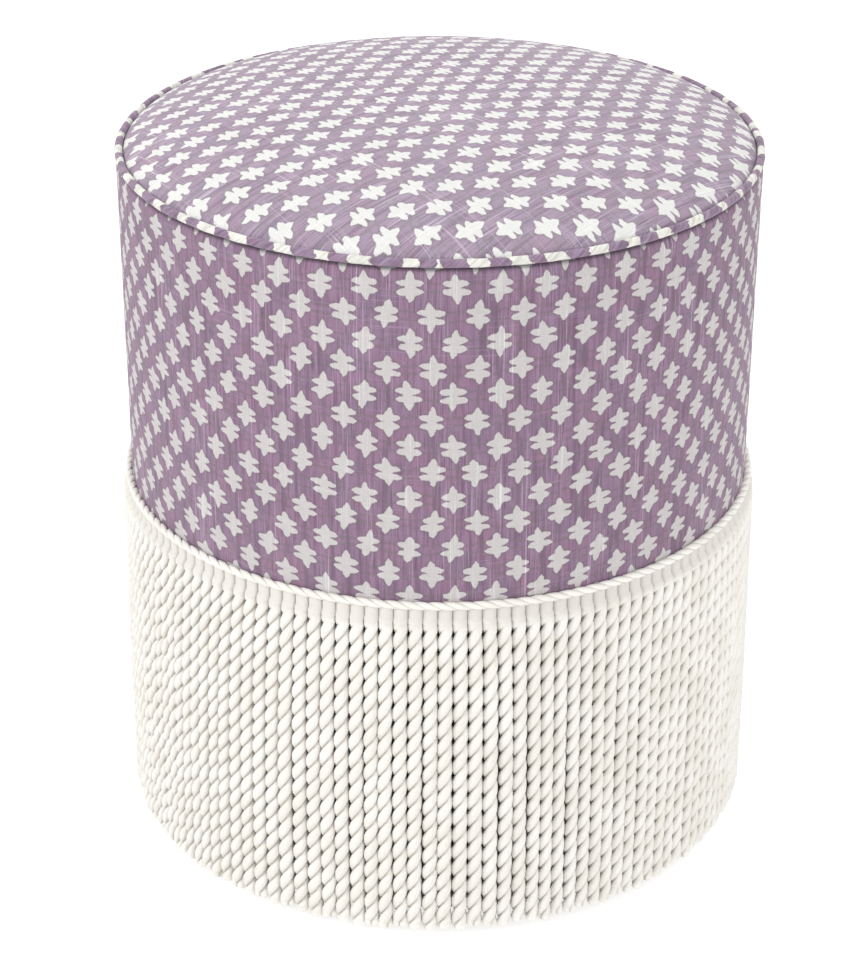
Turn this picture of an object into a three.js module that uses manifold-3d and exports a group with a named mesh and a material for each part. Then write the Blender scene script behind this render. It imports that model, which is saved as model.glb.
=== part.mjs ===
// A round upholstered stool, a tuffet: a crowned seat in printed linen, a piped edge, a
// straight linen-covered side and a deep bullion fringe that hangs to just above the floor.
// Everything is in millimetres. +Z is up, the origin is on the floor at the stool's axis.
// Inside there is a drum of bent plywood on two round boards and six posts, as such a stool
// is built, with foam and wadding under the linen.

import * as THREE from 'three';
import { mergeVertices } from 'three/addons/utils/BufferGeometryUtils.js';
import Module from 'manifold-3d';

const wasm = await Module();
wasm.setup();

// Driving dimensions of the whole stool
const fabric_radius = 195;          // outside of the linen on the side
const welt_height = 442;            // floor to the middle of the piping
const crown_rise = 23;              // how far the seat's middle stands above the piping
const crown_exponent = 3;           // how flat the crown is in its middle
const crown_edge_exponent = 0.65;   // how steeply it falls to the piping, less is steeper
const lip_top_height = 233;         // floor to the top of the fringe's lip cord
const strand_clearance = 5;         // floor to the longest fringe strand
const fit_gap = 0.3;                // what touching pieces keep between them
const merge_tolerance = 1e-4;       // corners closer than this are one corner

// Roundness of the turned pieces
const round_sides = 48;
const cord_sides = 6;
const screw_sides = 6;
const foot_sides = 16;

// Drum and boards
const side_padding = 8;             // drum wall to the outside of the linen
const wall_thickness = 4;
const wall_clearance = 12;          // floor to the wall's lower edge
const base_board_thickness = 15;
const seat_board_thickness = 15;
const seat_edge_depth = 47;         // top of the seat board to the piping
const rail_width = 18;
const rail_depth = 15;
const post_size = 35;
const post_count = 6;

// Feet
const foot_height = 20.8;
const foot_radius_low = 20;
const foot_radius_high = 23;
const foot_wall_clearance = 20;     // drum wall's inside to a foot's widest edge
const foot_count = 4;
const foot_bore_radius = 3;
const foot_counterbore_radius = 5.6;
const foot_counterbore_depth = 8;

// Screws
const screw_radius = 2.2;
const screw_head_radius = 4.4;
const screw_head_height = 3;
const post_screw_length = 50;
const foot_screw_length = 27;
const pilot_overrun = 1;            // how far a pilot hole runs past its screw

// Soft layers
const linen_thickness = 0.8;
const seat_wadding_thickness = 4;
const lining_thickness = 0.7;
const dust_cover_thickness = 0.6;
const side_turn_height = 7;         // the stretch below the piping where the side turns in
const side_turn_inset = 2.4;

// Piping
const welt_radius = 2.45;
const welt_inset = 1.8;             // the piping's middle lies this far inside the side linen

// Fringe
const strand_count = 144;
const strand_sector_count = 4;
const strand_radius = 4.1;
const strand_outset = 1;            // strand axis beyond the side linen
const strand_sides = 5;
const strand_length_spread = 4;     // the strands' ends differ by up to this
const strand_neck_height = 3.5;
const strand_neck_radius = 1;
const strand_neck_bury = 2;         // how far a strand's neck runs up into the header
const strand_tip_height = 3.5;
const strand_tip_radius = 2.2;
const strand_spread_step_share = 0.618034;
const lip_half_height = 2.5;
const lip_half_width = 1.6;
const lip_stand_off = 0.3;
const header_thickness = 2.4;
const header_stand_off = 0.6;       // linen to the back of the header
const header_height = 10.7;

// Levels and radii that follow from the sizes above
const drum_radius = fabric_radius - side_padding;
const drum_inner_radius = drum_radius - wall_thickness;
const board_radius = drum_inner_radius - fit_gap;
const dust_cover_level = foot_height + fit_gap;
const base_level = dust_cover_level + dust_cover_thickness + fit_gap;
const base_top = base_level + base_board_thickness;
const seat_board_top = welt_height - seat_edge_depth;
const seat_board_level = seat_board_top - seat_board_thickness;
const header_top = lip_top_height - 2 * lip_half_height - fit_gap;
const header_level = header_top - header_height;
const side_level = header_level + strand_neck_bury + fit_gap;
const side_top = welt_height - welt_radius - fit_gap;
const seam_radius = fabric_radius - welt_inset - welt_radius - fit_gap;
const foot_circle_radius = drum_inner_radius - foot_radius_high - foot_wall_clearance;
const rail_level = header_level;
const rail_outer_radius = drum_inner_radius - fit_gap;
const rail_inner_radius = rail_outer_radius - rail_width;
const post_height = seat_board_level - base_top - 2 * fit_gap;
const facet_share = Math.cos(Math.PI / round_sides);
const post_corner_radius = rail_inner_radius * facet_share - fit_gap;
const post_face_radius = Math.sqrt(post_corner_radius ** 2 - (post_size / 2) ** 2);
const post_circle_radius = post_face_radius - post_size / 2;

// Finishes
const finish = (color, roughness, metalness = 0) => new THREE.MeshStandardMaterial({
  color, roughness, metalness,
});
const plywood = finish(0xc9a878, 0.7);
const pine = finish(0xd8b98a, 0.75);
const foam_finish = finish(0xe9e2c8, 0.95);
const wadding_finish = finish(0xf2f0ea, 0.98);
const seat_linen = finish(0xa98bb0, 0.95);
const side_linen = finish(0x9c7c9f, 0.95);
const fringe_cotton = finish(0xf1ece2, 0.9);
const black_cloth = finish(0x1c1b1d, 0.95);
const black_plastic = finish(0x232325, 0.5);
const zinc_steel = finish(0xb4b6ba, 0.35, 1);

// Shape helpers

// One closed shell with shared corners and its faces outwards
function closedShell(geometry) {
  const bare = geometry.index ? geometry.toNonIndexed() : geometry.clone();
  for (const name of Object.keys(bare.attributes)) {
    if (name !== 'position') bare.deleteAttribute(name);
  }
  const merged = mergeVertices(bare, merge_tolerance);
  const place = merged.getAttribute('position');
  const index = merged.getIndex().array;
  const kept = [];
  let volume = 0;
  const corners = [new THREE.Vector3(), new THREE.Vector3(), new THREE.Vector3()];
  for (let i = 0; i < index.length; i += 3) {
    const [a, b, c] = [index[i], index[i + 1], index[i + 2]];
    if (a === b || b === c || c === a) continue;
    kept.push(a, b, c);
    [a, b, c].forEach((vertex, k) => corners[k].fromBufferAttribute(place, vertex));
    volume += corners[0].dot(corners[1].clone().cross(corners[2]));
  }
  if (volume < 0) {
    for (let i = 0; i < kept.length; i += 3) {
      [kept[i], kept[i + 1]] = [kept[i + 1], kept[i]];
    }
  }
  merged.setIndex(kept);
  return merged;
}

// A turned solid about Z from a list of [radius, height] points
function turned(points, sides = round_sides) {
  const outline = points.map(([radius, height]) => new THREE.Vector2(radius, height));
  const lathe = new THREE.LatheGeometry(outline, sides);
  lathe.rotateX(Math.PI / 2);
  return closedShell(lathe);
}

// A turned ring: its outline closes on itself
function turnedRing(points, sides = round_sides) {
  return turned([...points, points[0]], sides);
}

function tube(inner, outer, low, high, sides = round_sides) {
  return turnedRing([[outer, low], [outer, high], [inner, high], [inner, low]], sides);
}

function disc(radius, low, high, sides = round_sides) {
  return turned([[0, low], [radius, low], [radius, high], [0, high]], sides);
}

// A ring of oval section, as a cord laid in a circle
function cordRing(centre_radius, centre_height, half_width, half_height) {
  const section = [];
  for (let i = 0; i < cord_sides; i += 1) {
    const angle = 2 * Math.PI * i / cord_sides;
    section.push([
      centre_radius + half_width * Math.cos(angle),
      centre_height + half_height * Math.sin(angle),
    ]);
  }
  return turnedRing(section);
}

function toSolid(geometry) {
  const shell = closedShell(geometry);
  return new wasm.Manifold(new wasm.Mesh({
    numProp: 3,
    vertProperties: new Float32Array(shell.getAttribute('position').array),
    triVerts: new Uint32Array(shell.getIndex().array),
  }));
}

function toGeometry(solid) {
  const mesh = solid.getMesh();
  const geometry = new THREE.BufferGeometry();
  const place = new Float32Array(mesh.numVert * 3);
  for (let i = 0; i < mesh.numVert; i += 1) {
    for (let k = 0; k < 3; k += 1) {
      place[3 * i + k] = mesh.vertProperties[mesh.numProp * i + k];
    }
  }
  geometry.setAttribute('position', new THREE.BufferAttribute(place, 3));
  geometry.setIndex(new THREE.BufferAttribute(new Uint32Array(mesh.triVerts), 1));
  return geometry;
}

function cut(geometry, cutters) {
  return toGeometry(cutters.reduce((left, cutter) => left.subtract(toSolid(cutter)), toSolid(geometry)));
}

// Rings of corners, one above the other, joined by walls and closed at both ends
function lofted(rings) {
  const sides = rings[0].length;
  const place = rings.flat().flatMap((corner) => corner.toArray());
  const index = [];
  for (let r = 0; r + 1 < rings.length; r += 1) {
    for (let i = 0; i < sides; i += 1) {
      const a = r * sides + i;
      const b = r * sides + (i + 1) % sides;
      index.push(a, b, b + sides, a, b + sides, a + sides);
    }
  }
  const last = (rings.length - 1) * sides;
  for (let i = 1; i + 1 < sides; i += 1) {
    index.push(0, i + 1, i);
    index.push(last, last + i, last + i + 1);
  }
  const geometry = new THREE.BufferGeometry();
  geometry.setAttribute('position', new THREE.Float32BufferAttribute(place, 3));
  geometry.setIndex(index);
  return closedShell(geometry);
}

// Places round the stool
const turn = (count, i, start = 0) => start + 2 * Math.PI * i / count;
const post_start = Math.PI / post_count;
const foot_start = Math.PI / foot_count;

function aroundCircle(count, radius, start) {
  return Array.from({ length: count }, (unused, i) => {
    const angle = turn(count, i, start);
    return { angle, x: radius * Math.cos(angle), y: radius * Math.sin(angle) };
  });
}

const post_places = aroundCircle(post_count, post_circle_radius, post_start);
const foot_places = aroundCircle(foot_count, foot_circle_radius, foot_start);

// The group that everything goes in
const stool = new THREE.Group();
stool.name = 'stool';

function addPiece(name, geometry, material) {
  const mesh = new THREE.Mesh(geometry, material);
  mesh.name = name;
  stool.add(mesh);
  return mesh;
}

// A screw along Z with its head's face at height 0 and its shank running up. A clearance and
// an overrun make it the hole that the screw needs. The head is countersunk or flat beneath.
function screwForm(length, countersunk, clearance = 0, overrun = 0) {
  const head = screw_head_radius + clearance;
  const shank = screw_radius + clearance;
  const end = length + overrun;
  const low = clearance ? -overrun : 0;
  const rim = countersunk ? 0 : screw_head_height;
  return turned([[0, low], [head, low], [head, rim], [shank, screw_head_height], [shank, end], [0, end]],
    screw_sides);
}

// The two screws of each post: one up through the base board, one down through the seat board
function postScrews(clearance = 0, overrun = 0) {
  return post_places.flatMap(({ x, y }) => {
    const low = screwForm(post_screw_length, true, clearance, overrun);
    const high = screwForm(post_screw_length, true, clearance, overrun).rotateX(Math.PI);
    return [low.translate(x, y, base_level), high.translate(x, y, seat_board_top)];
  });
}

// The screw of each foot, its head against the floor of the foot's counterbore
function footScrews(clearance = 0, overrun = 0) {
  const level = foot_counterbore_depth - screw_head_height - fit_gap;
  return foot_places.map(({ x, y }) => screwForm(foot_screw_length, false, clearance, overrun)
    .translate(x, y, level));
}

// Boards, posts and rail
function addFrame() {
  const holes = [...postScrews(fit_gap, pilot_overrun), ...footScrews(fit_gap, pilot_overrun)];
  addPiece('base_board', cut(disc(board_radius, base_level, base_top), holes), plywood);
  addPiece('seat_board', cut(disc(board_radius, seat_board_level, seat_board_top), holes), plywood);
  addPiece('fringe_rail', tube(rail_inner_radius, rail_outer_radius, rail_level,
    rail_level + rail_depth), plywood);
  post_places.forEach((place, i) => {
    const block = new THREE.BoxGeometry(post_size, post_size, post_height);
    block.rotateZ(place.angle);
    block.translate(place.x, place.y, base_top + fit_gap + post_height / 2);
    const own_holes = postScrews(fit_gap, pilot_overrun).slice(2 * i, 2 * i + 2);
    addPiece(`post_${i + 1}`, cut(block, own_holes), pine);
  });
  addPiece('drum_wall', tube(drum_inner_radius, drum_radius, wall_clearance, seat_board_top), plywood);
  postScrews().forEach((screw, i) => addPiece(`post_screw_${i + 1}`, screw, zinc_steel));
}

// Feet on the floor, each held by a screw in a counterbore
function addFeet() {
  foot_places.forEach((place, i) => {
    const foot = turnedRing([
      [foot_counterbore_radius, 0],
      [foot_radius_low, 0],
      [foot_radius_high, foot_height],
      [foot_bore_radius, foot_height],
      [foot_bore_radius, foot_counterbore_depth],
      [foot_counterbore_radius, foot_counterbore_depth],
    ], foot_sides);
    addPiece(`foot_${i + 1}`, foot, black_plastic).position.set(place.x, place.y, 0);
  });
  footScrews().forEach((screw, i) => addPiece(`foot_screw_${i + 1}`, screw, zinc_steel));
  const cover = disc(board_radius, dust_cover_level, dust_cover_level + dust_cover_thickness);
  addPiece('dust_cover', cut(cover, footScrews(fit_gap, pilot_overrun)), black_cloth);
}

// The seat's crowned surface: its height above the floor at a radius, under a cover. All
// layers share the same break radii, so that none cuts into the next between them.
const crown_radius_shares = [0, 0.3, 0.52, 0.7, 0.84, 0.92, 0.97, 0.99, 1];
const crown_radii = crown_radius_shares.map((share) => share * seam_radius);

function crownHeight(radius, depth) {
  const fall_share = (radius / seam_radius) ** crown_exponent;
  return welt_height + crown_rise * Math.max(1 - fall_share, 0) ** crown_edge_exponent - depth;
}

function crownLine(edge_radius, depth) {
  const outer_index = crown_radii.findIndex((radius) => radius >= edge_radius);
  const [inner, outer] = [crown_radii[outer_index - 1], crown_radii[outer_index]];
  const share = (edge_radius - inner) / (outer - inner);
  const edge_height = crownHeight(inner, depth) * (1 - share) + crownHeight(outer, depth) * share;
  const line = crown_radii.slice(0, outer_index).map((radius) => [radius, crownHeight(radius, depth)]);
  return [...line, [edge_radius, edge_height]];
}

// A crowned sheet: a surface at one depth and another at a greater depth
function crownedSheet(edge_radius, top_depth, low_depth) {
  return turned([...crownLine(edge_radius, top_depth), ...crownLine(edge_radius, low_depth).reverse()]);
}

function addSeat() {
  const wadding_top = linen_thickness + fit_gap;
  const foam_top = wadding_top + seat_wadding_thickness + fit_gap;
  const foam_level = seat_board_top + fit_gap;
  addPiece('seat_foam', turned([[0, foam_level], [drum_radius, foam_level],
    ...crownLine(drum_radius, foam_top).reverse()]), foam_finish);
  addPiece('seat_wadding', crownedSheet(drum_radius, wadding_top, foam_top - fit_gap), wadding_finish);
  addPiece('seat_cover', crownedSheet(seam_radius, 0, linen_thickness), seat_linen);
  addPiece('welt', cordRing(fabric_radius - welt_inset, welt_height, welt_radius, welt_radius),
    seat_linen);
}

// The side: wadding and linen above the header, black cloth on the wall behind the fringe
function addSide() {
  const turn_level = side_top - side_turn_height;
  const linen_inner = fabric_radius - linen_thickness;
  const wadding_outer = linen_inner - fit_gap;
  const wadding_inner = drum_radius + fit_gap;
  addPiece('side_wadding', turnedRing([
    [wadding_outer, side_level],
    [wadding_outer, turn_level],
    [wadding_outer - side_turn_inset, side_top - fit_gap],
    [wadding_inner, side_top - fit_gap],
    [wadding_inner, side_level],
  ]), wadding_finish);
  addPiece('side_cover', turnedRing([
    [fabric_radius, side_level],
    [fabric_radius, turn_level],
    [fabric_radius - side_turn_inset, side_top],
    [linen_inner - side_turn_inset, side_top],
    [linen_inner, turn_level],
    [linen_inner, side_level],
  ]), side_linen);
  addPiece('lower_lining', tube(drum_radius + fit_gap, drum_radius + fit_gap + lining_thickness,
    wall_clearance, side_level - fit_gap), black_cloth);
}

// One fringe strand: a neck that leaves the header, a straight cord and a rounded loop end
function strandForm(index) {
  const angle = turn(strand_count, index, Math.PI / strand_count);
  const header_middle = fabric_radius + header_stand_off + header_thickness / 2;
  const axis_radius = fabric_radius + strand_outset;
  const spread_share = (index * strand_spread_step_share) % 1;
  const end = strand_clearance + strand_length_spread * spread_share;
  const stations = [
    [end, axis_radius, strand_tip_radius],
    [end + strand_tip_height, axis_radius, strand_radius],
    [header_level + strand_neck_bury - strand_neck_height, axis_radius, strand_radius],
    [header_level + strand_neck_bury, header_middle, strand_neck_radius],
  ];
  const rings = stations.map(([height, distance, radius]) => {
    const ring = [];
    for (let i = 0; i < strand_sides; i += 1) {
      const corner = turn(strand_sides, i);
      ring.push(new THREE.Vector3(
        distance + radius * Math.cos(corner), radius * Math.sin(corner), height));
    }
    return ring;
  });
  return lofted(rings).rotateZ(angle);
}

// A quarter of the woven header, between two angles
function headerSlice(from, to) {
  const inner = fabric_radius + header_stand_off;
  const outer = inner + header_thickness;
  const shape = new THREE.Shape();
  shape.absarc(0, 0, outer, from, to, false);
  shape.absarc(0, 0, inner, to, from, true);
  shape.closePath();
  const steps = round_sides / strand_sector_count;
  const slice = new THREE.ExtrudeGeometry(shape, {
    depth: header_height, bevelEnabled: false, steps: 1, curveSegments: steps,
  });
  return slice.translate(0, 0, header_level);
}

function addFringe() {
  addPiece('fringe_lip_cord', cordRing(fabric_radius + lip_stand_off + lip_half_width,
    lip_top_height - lip_half_height, lip_half_width, lip_half_height), fringe_cotton);
  const per_sector = strand_count / strand_sector_count;
  const sector_angle = 2 * Math.PI / strand_sector_count;
  const end_angle = fit_gap / 2 / fabric_radius;
  for (let s = 0; s < strand_sector_count; s += 1) {
    const slice = headerSlice(s * sector_angle + end_angle, (s + 1) * sector_angle - end_angle);
    const solids = [toSolid(slice)];
    for (let i = 0; i < per_sector; i += 1) {
      solids.push(toSolid(strandForm(s * per_sector + i)));
    }
    addPiece(`fringe_strands_${s + 1}`, toGeometry(wasm.Manifold.union(solids)), fringe_cotton);
  }
}

addFrame();
addFeet();
addSeat();
addSide();
addFringe();

export default stool;
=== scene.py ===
# %% [markdown]
# This lesson dresses a round tuffet. The imported frame gives the drum, boards, posts and feet
# at their real size. We add what the upholsterer adds: foam, wadding, a printed linen cover
# with a piped edge, and a deep fringe of twisted cotton cords. We start by loading the frame,
# and a small helper reads the box of any of its parts. Nothing that we add may outgrow it.
# %% Load the frame
import math
import random
from functools import partial

import bmesh
import bpy
from mathutils import Matrix, Vector


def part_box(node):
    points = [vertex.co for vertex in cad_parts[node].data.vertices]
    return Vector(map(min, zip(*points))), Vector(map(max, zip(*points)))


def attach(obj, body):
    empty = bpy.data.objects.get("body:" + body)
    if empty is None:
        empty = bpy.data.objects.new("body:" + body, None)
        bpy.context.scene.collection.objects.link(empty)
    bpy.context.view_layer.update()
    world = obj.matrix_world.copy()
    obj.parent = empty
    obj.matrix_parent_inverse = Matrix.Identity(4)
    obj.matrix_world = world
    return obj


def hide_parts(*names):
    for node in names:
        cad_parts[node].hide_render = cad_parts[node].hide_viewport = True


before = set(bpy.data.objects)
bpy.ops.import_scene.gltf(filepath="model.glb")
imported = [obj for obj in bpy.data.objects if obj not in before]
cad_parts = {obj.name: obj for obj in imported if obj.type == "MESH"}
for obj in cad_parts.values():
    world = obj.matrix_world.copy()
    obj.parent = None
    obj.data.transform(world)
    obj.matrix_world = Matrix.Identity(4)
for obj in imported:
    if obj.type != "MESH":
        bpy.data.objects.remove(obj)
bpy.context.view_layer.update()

MM = 0.001


def deselect_all():
    bpy.ops.object.select_all(action="DESELECT")


deselect_all()

# %% [markdown]
# Every size that we need twice gets a name. The ones that the frame knows are read from its
# boxes, so the soft pieces sit exactly on the drum. The others are the sizes of the trimmings:
# the fringe is a stock nine-inch bullion, with 144 cords round the drum.
# %% Sizes of the stool
def node_radius(name):
    low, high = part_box(name)
    return (high[0] - low[0]) / 2


def node_level(name, end):
    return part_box(name)[end][2]


LINEN_RADIUS = node_radius("side_cover")
WALL_RADIUS = node_radius("drum_wall")
SIDE_LOW, SIDE_TOP = node_level("side_cover", 0), node_level("side_cover", 1)
SEAT_TOP = node_level("seat_cover", 1)
WELT_LEVEL = (node_level("welt", 0) + node_level("welt", 1)) / 2
WELT_THICKNESS = 4.9 * MM
WELT_RING = node_radius("welt") - WELT_THICKNESS / 2
SEAM_RADIUS = node_radius("seat_cover")
CROWN_RISE = SEAT_TOP - WELT_LEVEL
CROWN_POWER = 3
CROWN_EDGE_POWER = 0.65
LIP_LOW, LIP_TOP = node_level("fringe_lip_cord", 0), node_level("fringe_lip_cord", 1)
STRAND_COUNT = 144
STRAND_END = 1 * MM
HEADER_LOW = 219 * MM
print("linen radius %.1f mm, seat top %.1f mm, lip top %.1f mm" % (
    LINEN_RADIUS / MM, SEAT_TOP / MM, LIP_TOP / MM))

# %% [markdown]
# The camera stands where the photographer stood: about a metre and a half away and a metre
# up, looking down by 27 degrees through a fairly long lens. Its place comes from fitting the
# seat's edge, the lip cord and the fringe's foot to their ellipses in the picture.
# %% Camera
CAMERA_PLACE = (0, -1519.4 * MM, 997.4 * MM)
CAMERA_PITCH = math.radians(27.15)
CAMERA_ROLL = math.radians(0.26)
CAMERA_LENS = 99.6
CAMERA_SENSOR = 36
CAMERA_SHIFT = (-0.0119, -0.0113)
CAMERA_REACH = 50

bpy.ops.object.camera_add(location=CAMERA_PLACE)
camera = bpy.context.object
turn = Matrix.Rotation(math.pi / 2 - CAMERA_PITCH, 4, "X") @ Matrix.Rotation(CAMERA_ROLL, 4, "Z")
camera.matrix_world = Matrix.Translation(CAMERA_PLACE) @ turn
camera.data.lens = CAMERA_LENS
camera.data.sensor_width = CAMERA_SENSOR
camera.data.shift_x, camera.data.shift_y = CAMERA_SHIFT
camera.data.clip_end = CAMERA_REACH
bpy.context.scene.camera = camera
print("camera lens %.1f mm at %s" % (camera.data.lens, [round(v, 3) for v in camera.location]))

# %% [markdown]
# The picture is a soft high-key one on pure white. A floor that glows white, a bright plain
# world and three broad area lights give that: the largest is high and to the left of the
# camera, so each fringe cord has its shaded side at the lower right.
# %% Floor, world and lights
def srgb(red, green, blue):
    """A colour read off a screen, 0 to 255, as the linear colour that a shader takes"""
    def linear(value):
        value /= 255
        return value / 12.92 if value <= 0.04045 else ((value + 0.055) / 1.055) ** 2.4
    return (linear(red), linear(green), linear(blue), 1)


WHITE = (1, 1, 1, 1)
FLOOR_SIZE = 14
FLOOR_GREY, FLOOR_ROUGHNESS, FLOOR_GLOW = 0.35, 0.8, 0.75
ROOM_LIGHT = 0.88

bpy.ops.mesh.primitive_plane_add(size=FLOOR_SIZE, location=(0, 0, 0))
floor = bpy.context.object
floor.name = "studio_floor"
floor_paint = bpy.data.materials.new("white floor")
floor_paint.use_nodes = True
floor_shader = floor_paint.node_tree.nodes["Principled BSDF"]
floor_shader.inputs["Base Color"].default_value = (FLOOR_GREY, FLOOR_GREY, FLOOR_GREY, 1)
floor_shader.inputs["Roughness"].default_value = FLOOR_ROUGHNESS
floor_shader.inputs["Emission Color"].default_value = WHITE
floor_shader.inputs["Emission Strength"].default_value = FLOOR_GLOW
floor.data.materials.append(floor_paint)

world = bpy.data.worlds.new("white room")
world.use_nodes = True
world.node_tree.nodes["Background"].inputs["Color"].default_value = WHITE
world.node_tree.nodes["Background"].inputs["Strength"].default_value = ROOM_LIGHT
bpy.context.scene.world = world
bpy.context.scene.view_settings.view_transform = "Standard"

LIGHT_AIM = Vector((0, 0, 0.25))
STUDIO_LIGHTS = {
    "key_light": {"place": (-2.55, -1.0, 1.9), "size": 1.6, "watts": 48},
    "fill_light": {"place": (1.4, -2.3, 0.7), "size": 1.8, "watts": 25},
    "top_light": {"place": (0.2, 0.9, 2.4), "size": 1.8, "watts": 20},
}
for light_name, facts in STUDIO_LIGHTS.items():
    bpy.ops.object.light_add(type="AREA", location=facts["place"])
    light = bpy.context.object
    light.name = light_name
    light.data.size = facts["size"]
    light.data.energy = facts["watts"]
    light.rotation_euler = (LIGHT_AIM - Vector(facts["place"])).to_track_quat("-Z", "Y").to_euler()
print("lights:", ", ".join(STUDIO_LIGHTS))

# %% [markdown]
# A finish is a small network of shader nodes, and most of it is arithmetic. This helper keeps
# such networks short to write: it adds a node, sets or joins its inputs, and gives back its
# output. Numbers that are the same all over a surface go straight into the shader.
# %% A helper for finishes
class Finish:
    def __init__(self, name, roughness, **shader_values):
        self.material = bpy.data.materials.new(name)
        self.material.use_nodes = True
        self.tree = self.material.node_tree
        self.shader = self.tree.nodes["Principled BSDF"]
        self.set("Roughness", roughness)
        for socket_name, value in shader_values.items():
            self.set(socket_name.replace("_", " "), value)

    def set(self, socket_name, value):
        self.shader.inputs[socket_name].default_value = value

    def join(self, socket, value):
        if isinstance(value, bpy.types.NodeSocket):
            self.tree.links.new(value, socket)
        elif value is not None:
            socket.default_value = value

    def add(self, kind, output=0, **settings):
        inputs = settings.pop("inputs", {})
        node = self.tree.nodes.new(kind)
        for setting, value in settings.items():
            setattr(node, setting, value)
        for socket_name, value in inputs.items():
            self.join(node.inputs[socket_name], value)
        return node.outputs[output]

    def math(self, operation, *values):
        return self.add("ShaderNodeMath", operation=operation, inputs=dict(enumerate(values)))

    def between(self, share, low, high):
        """A value from low to high, as a share from 0 to 1 says"""
        return self.math("MULTIPLY_ADD", share, high - low, low)

    def step(self, value, low, high):
        """0 below low, 1 above high and smooth between"""
        return self.add("ShaderNodeMapRange", interpolation_type="SMOOTHSTEP",
                        inputs={"Value": value, "From Min": low, "From Max": high})

    def blend(self, share, first, second, how="MIX"):
        return self.add("ShaderNodeMix", output=2, data_type="RGBA", blend_type=how,
                        inputs={0: share, 6: first, 7: second})

    def vector(self, x, y, z=0.0):
        return self.add("ShaderNodeCombineXYZ", inputs={0: x, 1: y, 2: z})

    def parts(self, vector):
        node = self.tree.nodes.new("ShaderNodeSeparateXYZ")
        self.join(node.inputs[0], vector)
        return node.outputs[0], node.outputs[1], node.outputs[2]

    def noise(self, vector, scale, detail=2.0, roughness=0.5, output=0):
        return self.add("ShaderNodeTexNoise", output=output, inputs={
            "Vector": vector, "Scale": scale, "Detail": detail, "Roughness": roughness})

    def random(self, vector):
        """Three random numbers, 0 to 1, that stay the same all over one cell"""
        return self.parts(self.add("ShaderNodeTexWhiteNoise", output=1, inputs={"Vector": vector}))

    def place(self):
        """The point's place in the stool's own frame, in metres"""
        return self.add("ShaderNodeTexCoord", output=3)

    def colour(self, value):
        self.join(self.shader.inputs["Base Color"], value)

    def relief(self, height, strength, distance):
        bump = self.add("ShaderNodeBump", inputs={
            "Height": height, "Strength": strength, "Distance": distance})
        self.join(self.shader.inputs["Normal"], bump)


print("finish helper ready")

# %% [markdown]
# The linen is block-printed with a small leaf sprig, a motif as old as block printing: a
# spindle with two pairs of side lobes, set in a half-drop repeat. Each print differs a
# little, as hand blocks do. So the shader works out which repeat a point is in, draws random
# numbers for that repeat, and measures how far inside the sprig the point lies. All of it is
# in millimetres of cloth, so the same network prints the side and the seat. A pair of numbers
# is a range, and each print draws its own value from it.
# %% The printed sprig
SPRIG_EDGE, SPRIG_RIM = 0.3, 2.1
SPRIG_MARGIN = 0.4
SPRIG_STRAY, SPRIG_TILT = (-0.8, 0.8), (-0.1, 0.1)
LOBE_REACH, LOBE_TILTED_REACH = (6.0, 7.2), 1.2
LOBE_MIDDLE, LOBE_SLOPE = 2.4, (-0.03, 0.07)
LOBE_HALF = (1.9 + SPRIG_MARGIN, 2.25 + SPRIG_MARGIN)
SPINDLE_REACH, SPINDLE_BEND = (8.3, 9.9), (-0.13, 0.13)
SPINDLE_HALF = (2.3 + SPRIG_MARGIN, 3.1 + SPRIG_MARGIN)
SPRIG_BLUNTNESS = 3.2
PRINT_SEED, END_SEED, LOBE_SEED = 3.7, 5.3, 8.1
END_SEED_STEP, SIDE_SEED_STEP = 0.27, 0.31


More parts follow.
